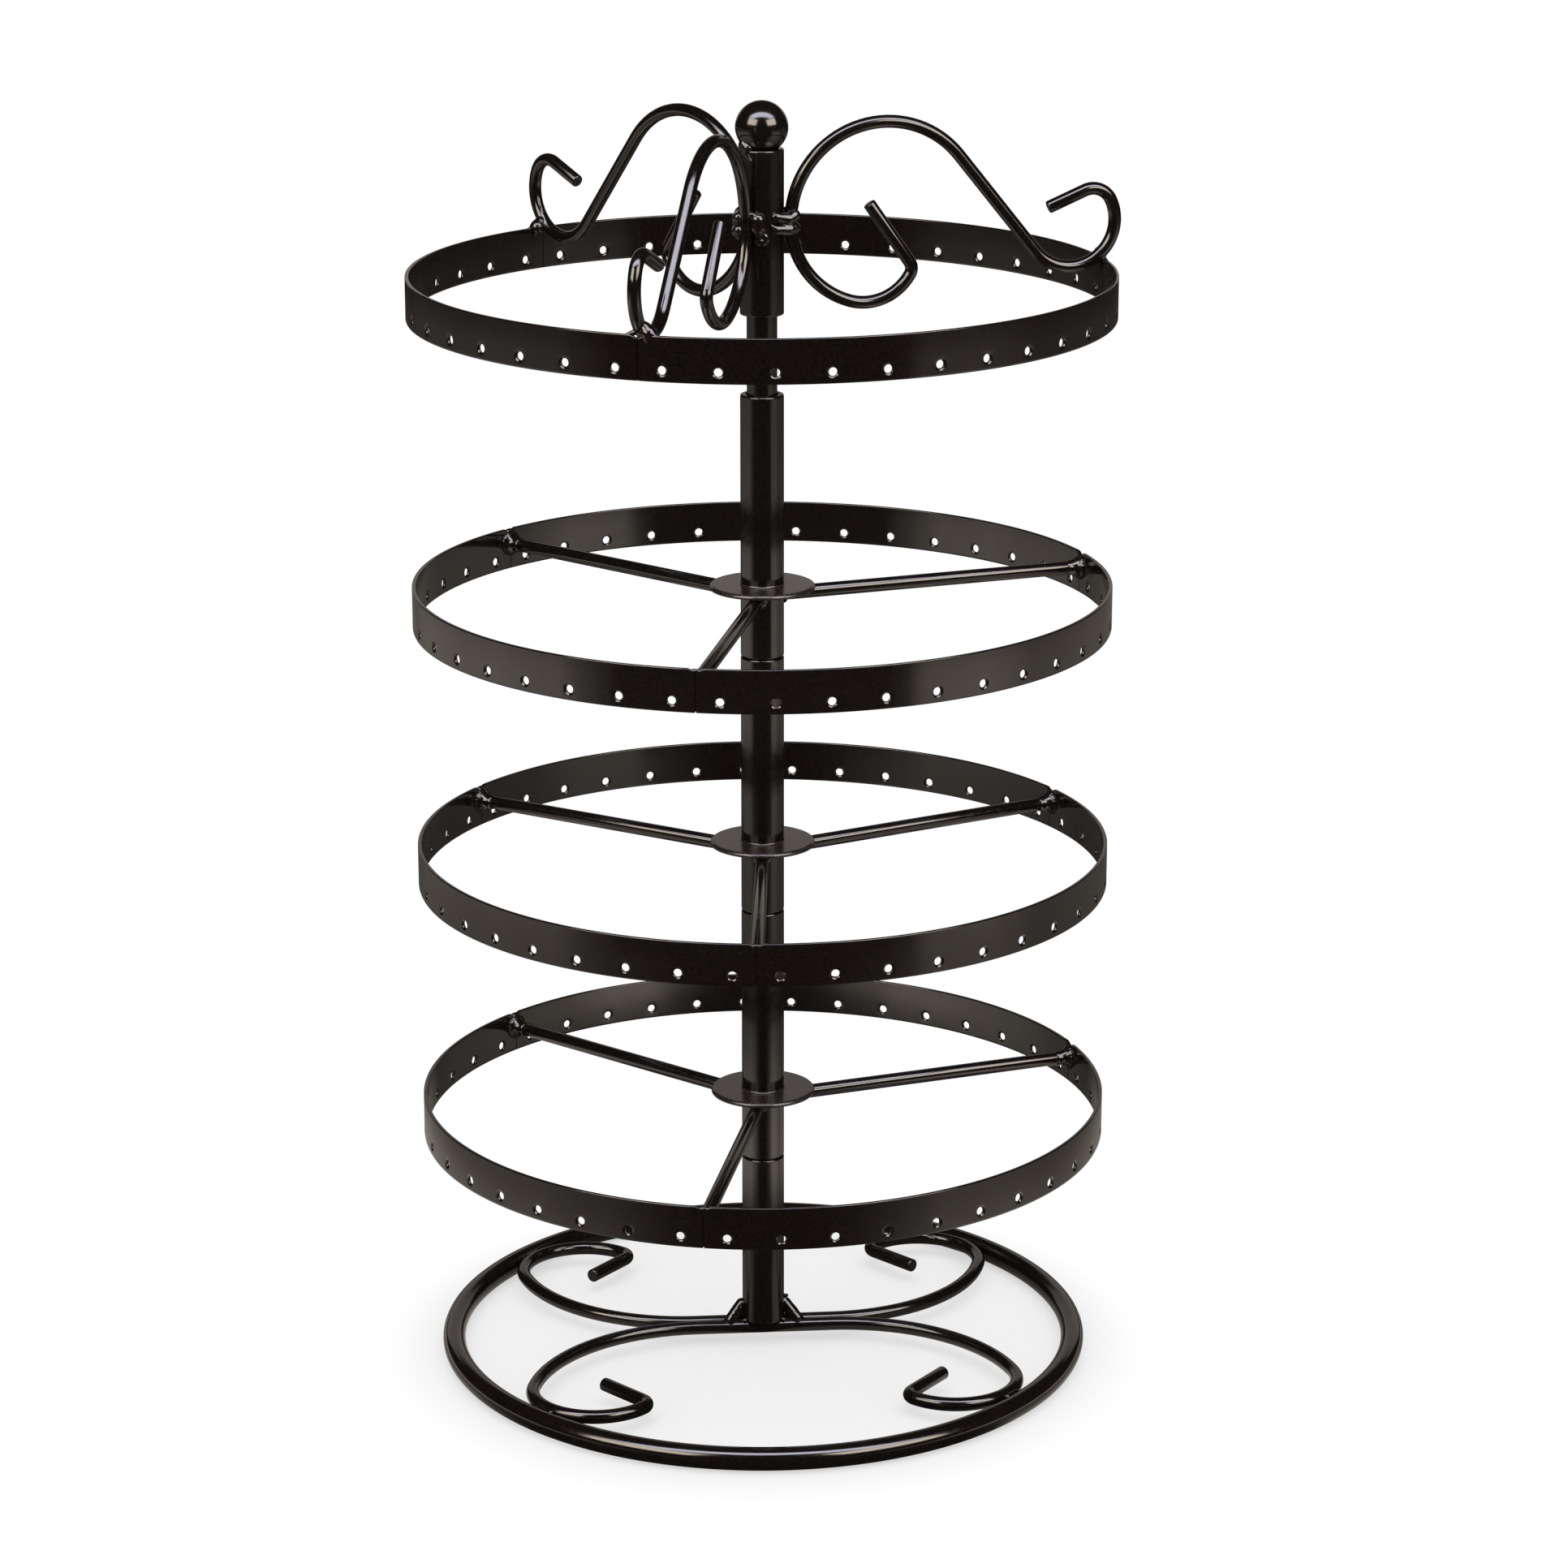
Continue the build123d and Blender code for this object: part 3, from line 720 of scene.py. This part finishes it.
# spokes on the band and on the sleeve: a cone of weld round the wire
collarForm = {"rings": 9, "beads": 22, "length": 3.4, "flare": 1.5, "core": 1.5, "girth": 0.52,
              "swing": (0.93, 1.07), "sunk": 0.2, "sleeveLength": 2.0, "sleeveShare": 0.76,
              "sleeveGirth": 0.8, "sleeveTop": 1.0}
# ridge from the cone up the band, swayed to one side, with a lobe under the edge
ridgeForm = {"sway": 0.7, "foot": ((0, -1.5, 0, 1.7, 0.55),),
             "lobe": ((0, -0.3, 0, -1.6, 0.4125), (0, -0.1, 1.7, -2.3, 0.33))}


def collarBeads(turn, height):
    beads = []
    small = collarForm["sleeveShare"]
    for ring in range(collarForm["rings"]):
        share = ring / (collarForm["rings"] - 1)
        around = collarForm["core"] + collarForm["flare"] * (1 - share) ** 3
        onBand = bandInner - collarForm["sunk"] - share * collarForm["length"]
        onSleeve = sleeve + collarForm["sunk"] + share * collarForm["sleeveLength"]
        for k in range(collarForm["beads"]):
            angle = 2 * math.pi * k / collarForm["beads"]
            aside, up = around * math.cos(angle), around * math.sin(angle)
            girth = collarForm["girth"] * shake.uniform(*collarForm["swing"])
            beads.append((radialPlace(turn, onBand, aside, height + up), girth))
            # the smaller collar on the sleeve stays open at the top, under the disc
            if up < collarForm["sleeveTop"]:
                place = radialPlace(turn, onSleeve, aside * small, height + up * small)
                beads.append((place, girth * collarForm["sleeveGirth"]))
    return beads


for tier in ("lower", "middle", "upper"):
    low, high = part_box(tier + "_spoke_1")
    height = (low.z + high.z) / 2 / mm
    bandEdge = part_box(tier + "_strip_1")[0].z / mm + bandForm["height"]
    beads = []
    for number in range(1, strips + 1):
        turn = seamTurn(tier, number)
        sway = shake.uniform(-ridgeForm["sway"], ridgeForm["sway"])
        beads += collarBeads(turn, height)
        beads += beadRun(weldStops(turn, bandInner, height, ridgeForm["foot"])
                         + weldStops(turn, bandInner, bandEdge, ridgeForm["lobe"], shift=sway))
        beads += beadRun(weldStops(turn, bandInner, bandEdge, seamForm["spoke"]))
        # the first seam is left open at the top, the others are filled
        if number > 1:
            beads += beadRun(weldStops(turn, bandInner, bandEdge, seamForm["cap"]))
    weldPiece(tier + "_spoke_welds", tier + "_tier", beads)

# arms on the sleeve: two saddles on one side of the wire, one over the other, that sag between sleeve and
# wire; on the other side an upright lump that hooks over at the top, with a crater under it and a spatter
sleeveRuns = {
    "upperSaddle": ((-50, 0.1, 0, 1.9, 1.275), (0, 1.3, -2.5, 1.1, 1.7), (0, 2.8, -1.5, 2.0, 1.445)),
    "lowerSaddle": ((-50, 0.1, 0, -1.3, 1.275), (0, 1.3, -2.5, -1.6, 1.7), (0, 2.8, -1.5, -1.2, 1.445)),
    "lump": ((0, 0.3, 2.8, 1.4, 1.935), (0, 0.3, 2.8, -0.4, 2.15)),
    "hook": ((0, 1.8, 1.6, 2.9, 0.8), (0, 0.3, 2.8, 1.4, 1.505))}
craterForm = {"middle": (34, 0.55, 0, -3.4, 1.05), "radius": 1.0, "beads": 10}
spatter = [(60, 0.1, 0, -0.3, 0.6)]
# arms on the band: a round blob beside the wire, down over the inner face, and thin runs along the edge
bandRuns = {
    "blob": ((0, -0.6, 1.2, 1.6, 1.5), (0, -0.6, 2.3, 0.2, 2.0), (0, -0.1, 2.5, -1.5, 1.2)),
    "rightRun": ((0, -0.2, 2.3, 0.4, 0.8), (0, 0.4, 4.8, -0.3, 0.5)),
    "leftRun": ((0, -0.2, -1.0, 0.4, 0.8), (0, 0.4, -3.0, -0.3, 0.5)),
    "seam": seamForm["arm"]}
# rough tack between the ball and the sleeve, from the middle of its mouth, with a run below it
ballWeldForm = {"dots": ((196, 4.8, 0, 0.7, 1.445), (206, 4.8, 0, 1.3, 1.7), (219, 4.8, 0, 0.5, 1.53)),
                "run": ((212, 5.0, 0, 0, 1.275), (235, 5.4, 0, -2.6, 0.55))}


def craterStops():
    turn, outward, aside, up, girth = craterForm["middle"]
    size = craterForm["radius"]
    angles = [2 * math.pi * k / craterForm["beads"] for k in range(craterForm["beads"])]
    return [(turn, outward, aside + size * math.cos(a), up + size * math.sin(a), girth) for a in angles]


beads = []
for number in range(1, strips + 1):
    turn = seamTurn("top", number)
    touch = turn + touchSwing
    for run in sleeveRuns.values():
        beads += beadRun(weldStops(touch, sleeve, armWeld, run))
    beads += weldStops(touch, sleeve, armWeld, craterStops() + spatter)
    for run in bandRuns.values():
        beads += beadRun(weldStops(turn, bandInner, topEdge, run))
beads += weldStops(0, 0, topHigh.z / mm, ballWeldForm["dots"])
beads += beadRun(weldStops(0, 0, topHigh.z / mm, ballWeldForm["run"]))
weldPiece("top_arm_welds", "top_tier", beads)

# legs between the post and the scrolls: bars of weld that start on the front wire and lean back, with a
# toe along the wires, a burr on the post, higher on one side, a nub on the burr and tacks beside the post
legForm = {"leg": ((0, 3.4, -1.7, 0, 1.7), (0, 0.2, 0.2, 3.8, 1.7)),
           "toe": ((0, 3.4, -1.7, 0, 1.36), (0, 5.8, -1.7, -0.9, 0.5)),
           "burrFoot": ((0, 0.2, 0.2, 3.8, 1.275),), "burrTop": ((0, 0, 0.4, 3.8, 0.7),),
           "nub": ((0, 0.8, -0.1, 4.1, 0.55),),
           "tacks": ((0, -0.4, -2.6, 0.1, 0.85), (0, -0.4, 2.6, 0.1, 0.85)),
           "sides": ({"turn": 180, "flip": -1, "burr": 0.4}, {"turn": 0, "flip": 1, "burr": 2.0})}
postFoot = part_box("base_post")[0].z / mm
beads = []
for side in legForm["sides"]:
    stops = {}
    for part in ("leg", "toe", "burrFoot", "burrTop", "nub", "tacks"):
        # both burrs start at the leg's top
        lift = side["burr"] if part in ("burrTop", "nub") else 0
        stops[part] = weldStops(side["turn"], sleeve, postFoot + lift, legForm[part], flip=side["flip"])
    beads += beadRun(stops["leg"]) + beadRun(stops["toe"]) + beadRun(stops["burrFoot"] + stops["burrTop"])
    beads += stops["nub"] + stops["tacks"]
weldPiece("post_welds", "base", beads)

# short runs in the groove between the scrolls and the ring
grooveRun = ((0, 0, -2.2, 0.4, 0.85), (0, 0, 2.2, 0.4, 0.68))
curlTurn = math.degrees(math.atan2(curlY, curlX))
grooveRadius = scrollReach + (ringRadius - scrollReach) * scrollForm["wire"] / 2 / ringTouch
beads = []
for turn in (curlTurn, 180 - curlTurn, 180 + curlTurn, -curlTurn):
    beads += beadRun(weldStops(turn, grooveRadius, scrollLift, grooveRun))
weldPiece("ring_welds", "base", beads)
print("weld beads done")


# Studio, in metres: a pale floor that the lens sees, with a painted grey shade under the stand, and round it
# what only the lacquer mirrors: a dark room, a grey sweep behind, a glowing table disc with painted light
# and shade, brighter to both sides, two warm softboxes and a cool one overhead
# near the base the floor's glow is held below white: a painted grey shade under the stand
floorForm = {"radius": 3.0, "drop": 0.0002, "colour": "#f1f1f1", "clearFrom": 0.086, "clearTo": 0.104,
             "nearShare": 0.68, "paintedShadeGlow": 0.9}
skyForm = {"light": 0.6, "seen": 1.0}
towardCamera = math.atan2(view["place"][1], view["place"][0])
aim = Vector((0, 0, 0.2))


def stagePiece(name, mesh, material):
    mesh.materials.append(material)
    piece = placed(name, mesh)
    return piece


def mirroredOnly(piece):
    # neither the lens nor the light on the floor meets it
    piece.visible_camera = False
    piece.visible_diffuse = False
    piece.visible_shadow = False
    piece.visible_transmission = False


def seenRays(tree):
    # 1 for what the lens sees, straight, mirrored or through glass
    ray = addNode(tree, "ShaderNodeLightPath")
    straight = addNode(tree, "ShaderNodeMath", {
        0: ray.outputs["Is Camera Ray"], 1: ray.outputs["Is Glossy Ray"]}, operation="MAXIMUM")
    return addNode(tree, "ShaderNodeMath", {
        0: straight.outputs["Value"], 1: ray.outputs["Is Transmission Ray"]},
        operation="MAXIMUM").outputs["Value"]


def roundMesh(name, radius):
    bm = bmesh.new()
    bmesh.ops.create_circle(bm, cap_ends=True, segments=96, radius=radius)
    return meshFrom(bm, name)


# matt paper, burnt out to white away from the base; near the base its glow is dimmed to a painted grey shade
# under the stand, mixed with the paper's real shading
floorPaper, tree = bareMaterial("whitePaperSweep")
place = addNode(tree, "ShaderNodeTexCoord").outputs["Object"]
away = addNode(tree, "ShaderNodeVectorMath", {0: place}, operation="LENGTH")
clear = addNode(tree, "ShaderNodeMapRange", {
    "Value": away.outputs["Value"], "From Min": floorForm["clearFrom"], "From Max": floorForm["clearTo"]},
    interpolation_type="SMOOTHSTEP")
burnt = addNode(tree, "ShaderNodeMapRange", {
    "Value": clear.outputs["Result"], "To Min": floorForm["nearShare"]})
share = addNode(tree, "ShaderNodeMath", {
    0: burnt.outputs["Result"], 1: seenRays(tree)}, operation="MULTIPLY")
paper = addNode(tree, "ShaderNodeBsdfDiffuse", {"Color": linearColour(floorForm["colour"])})
# glow strength rises from the painted shade near the base to full white further out
white = addNode(tree, "ShaderNodeMapRange", {
    "Value": clear.outputs["Result"], "To Min": floorForm["paintedShadeGlow"]})
glow = addNode(tree, "ShaderNodeEmission", {"Color": (1, 1, 1, 1), "Strength": white.outputs["Result"]})
both = addNode(tree, "ShaderNodeMixShader", {
    0: share.outputs["Value"], 1: paper.outputs["BSDF"], 2: glow.outputs["Emission"]})
addNode(tree, "ShaderNodeOutputMaterial", {"Surface": both.outputs["Shader"]})
floor = stagePiece("paleFloor", roundMesh("paleFloor", floorForm["radius"]), floorPaper)
floor.location = (0, 0, -floorForm["drop"])

world = bpy.data.worlds.new("studioWorld")
world.use_nodes = True
scene.world = world
tree = world.node_tree
tree.nodes.clear()
strength = addNode(tree, "ShaderNodeMapRange", {
    "Value": seenRays(tree), "To Min": skyForm["light"], "To Max": skyForm["seen"]})
sky = addNode(tree, "ShaderNodeBackground", {
    "Color": (1, 1, 1, 1), "Strength": strength.outputs["Result"]})
addNode(tree, "ShaderNodeOutputWorld", {"Surface": sky.outputs["Background"]})


def glowingCard(name, mesh, colour, strength, fade=None):
    material, tree = bareMaterial(name)
    glow = addNode(tree, "ShaderNodeEmission", {"Color": linearColour(colour), "Strength": strength})
    if fade:
        # the glow falls off towards the card's edges, by half width and half height
        centred = addNode(tree, "ShaderNodeTexCoord").outputs["Object"]
        place = addNode(tree, "ShaderNodeSeparateXYZ", {0: centred})
        amount = strength
        for axis, half in zip("XY", fade["halves"]):
            away = addNode(tree, "ShaderNodeMath", {0: place.outputs[axis]}, operation="ABSOLUTE")
            fall = addNode(tree, "ShaderNodeMapRange", {
                "Value": away.outputs["Value"], "From Min": half * (1 - fade["soft"]), "From Max": half,
                "To Min": 1.0, "To Max": 0.0}, interpolation_type="SMOOTHSTEP")
            amount = addNode(tree, "ShaderNodeMath", {
                0: fall.outputs["Result"], 1: amount}, operation="MULTIPLY").outputs["Value"]
        tree.links.new(amount, glow.inputs["Strength"])
    addNode(tree, "ShaderNodeOutputMaterial", {"Surface": glow.outputs["Emission"]})
    card = stagePiece(name, mesh, material)
    mirroredOnly(card)
    return card


roomForm = {"radius": 2.6, "colour": "#2b2725", "strength": 0.6}
bm = bmesh.new()
bmesh.ops.create_uvsphere(bm, u_segments=48, v_segments=24, radius=roomForm["radius"])
glowingCard("darkRoom", meshFrom(bm, "darkRoom"), roomForm["colour"], roomForm["strength"])

# the table in the mirror is a glowing disc whose levels are painted light and shade: brighter to both sides,
# darker in front and behind, dimmer under the stand and with a painted shadow just outside the ring; set by
# direction from the lens (right is positive) and by distance from the pole
tableForm = {
    "radius": 2.5, "drop": 0.0001, "colour": "#fff2e4",
    "around": ((-180, 0.10), (-150, 0.15), (-125, 0.5), (-106, 0.75), (-90, 1.05), (-66, 1.1), (-56, 0.5),
               (-45, 0.06), (0, 0.04), (38, 0.05), (45, 0.2), (51, 1.1), (72, 1.2), (94, 0.5), (118, 0.35),
               (146, 0.16), (180, 0.10)),
    "outward": ((0.0, 0.4), (0.08, 0.6), (0.098, 0.2), (0.125, 1.0), (0.16, 1.0), (0.24, 0.3), (0.34, 0.32),
                (0.46, 0.5), (0.70, 1.3), (0.86, 1.2), (1.0, 0.7), (1.4, 0.5), (1.7, 0.15)),
    "nearby": ((0.0, 0.0), (0.10, 0.0), (0.14, 1.0), (0.19, 0.9), (0.26, 0.3), (0.40, 0.3), (0.55, 0.0)),
    "nearbyAround": ((-180, 0.0), (-120, 0.3), (-90, 0.5), (-45, 1.2), (-26, 0.2), (-14, 0.0), (14, 0.0),
                     (26, 0.2), (45, 1.2), (90, 0.5), (120, 0.3), (180, 0.0))}
tableMaterial, tree = bareMaterial("tableInTheMirror")
fromPole = addNode(tree, "ShaderNodeTexCoord").outputs["Object"]
place = addNode(tree, "ShaderNodeSeparateXYZ", {0: fromPole})
direction = addNode(tree, "ShaderNodeMath", {
    0: place.outputs["Y"], 1: place.outputs["X"]}, operation="ARCTAN2")
aroundShare = addNode(tree, "ShaderNodeMapRange", {
    "Value": direction.outputs["Value"], "From Min": -math.pi, "From Max": math.pi})
flat = addNode(tree, "ShaderNodeCombineXYZ", {"X": place.outputs["X"], "Y": place.outputs["Y"]})
outward = addNode(tree, "ShaderNodeVectorMath", {0: flat.outputs["Vector"]}, operation="LENGTH")
tableReach = tableForm["outward"][-1][0]
outwardShare = addNode(tree, "ShaderNodeMapRange", {
    "Value": outward.outputs["Value"], "From Max": tableReach})
levels = {}
for name, share, first, last in (
        ("around", aroundShare, -180, 180), ("outward", outwardShare, 0, tableReach),
        ("nearby", outwardShare, 0, tableReach), ("nearbyAround", aroundShare, -180, 180)):
    node = addNode(tree, "ShaderNodeValToRGB", {"Fac": share.outputs["Result"]})
    ramp = node.color_ramp
    while len(ramp.elements) < len(tableForm[name]):
        ramp.elements.new(1.0)
    for element, (where, amount) in zip(ramp.elements, tableForm[name]):
        element.position = (where - first) / (last - first)
        element.color = (amount, amount, amount, 1)
    levels[name] = node.outputs["Color"]
nearLevel = addNode(tree, "ShaderNodeMath", {
    0: levels["nearby"], 1: levels["nearbyAround"]}, operation="MULTIPLY")
level = addNode(tree, "ShaderNodeMath", {
    0: levels["around"], 1: levels["outward"], 2: nearLevel.outputs["Value"]}, operation="MULTIPLY_ADD")
# the glow is the table's painted light and shade, seen only in the lacquer
glow = addNode(tree, "ShaderNodeEmission", {
    "Color": linearColour(tableForm["colour"]), "Strength": level.outputs["Value"]})
addNode(tree, "ShaderNodeOutputMaterial", {"Surface": glow.outputs["Emission"]})
table = stagePiece("mirroredTable", roundMesh("mirroredTable", tableForm["radius"]), tableMaterial)
mirroredOnly(table)
table.rotation_euler = (0, 0, towardCamera)
table.location = (0, 0, -tableForm["drop"])

# cards by turn from the lens, lift above the table and distance, with width and height in metres
cards = {
    "leftBox": {"turn": -46, "lift": 31, "away": 1.5, "size": (1.15, 0.70), "colour": "#fff0da",
                "strength": 11.0, "soft": 0.2},
    "rightBox": {"turn": 47, "lift": 30, "away": 1.5, "size": (1.15, 0.70), "colour": "#fff2e0",
                 "strength": 11.0, "soft": 0.2},
    "greySweep": {"turn": 180, "lift": 11, "away": 1.6, "size": (2.2, 0.72), "colour": "#fff4ea",
                  "strength": 0.45, "soft": 0.1},
    "overBox": {"turn": 0, "lift": 64, "away": 1.34, "size": (3.2, 0.74), "colour": "#f0eeff",
                "strength": 12.5, "soft": 0.55, "level": True},
}
for name, card in cards.items():
    angle = towardCamera + math.radians(card["turn"])
    lift = math.radians(card["lift"])
    way = Vector((math.cos(angle) * math.cos(lift), math.sin(angle) * math.cos(lift), math.sin(lift)))
    turned = (-way).to_track_quat("-Z", "Y").to_matrix().to_4x4()
    if card.get("level"):
        turned = Matrix.Rotation(towardCamera + math.pi / 2, 4, "Z")
    stand = Matrix.Translation(aim + way * card["away"]) @ turned
    wide, high = [size / 2 for size in card["size"]]
    corners = [(-wide, -high, 0), (wide, -high, 0), (wide, high, 0), (-wide, high, 0)]
    mesh = bpy.data.meshes.new(name)
    mesh.from_pydata(corners, [], [(0, 1, 2, 3)])
    fade = {"halves": (wide, high), "soft": card["soft"]}
    glowingCard(name, mesh, card["colour"], card["strength"], fade).matrix_world = stand

# the lamps proper: broad and neutral, for the floor and the body of the paint; the cards are their gloss
lamps = {
    "topLamp": {"place": (0, -0.35, 1.9), "size": 2.6, "glow": 1.5},
    "leftLamp": {"place": (-1.3, -1.0, 0.9), "size": 1.0, "glow": 1.2},
    "rightLamp": {"place": (1.3, -1.0, 0.9), "size": 1.0, "glow": 1.2},
}
for name, lamp in lamps.items():
    light = bpy.data.lights.new(name, "AREA")
    light.shape = "SQUARE"
    light.size = lamp["size"]
    light.energy = lamp["glow"] * math.pi * lamp["size"] ** 2
    lampPost = placed(name, light)
    lampPost.location = lamp["place"]
    lampPost.rotation_euler = (aim - Vector(lamp["place"])).to_track_quat("-Z", "Y").to_euler()
    lampPost.visible_glossy = False
print("studio done")
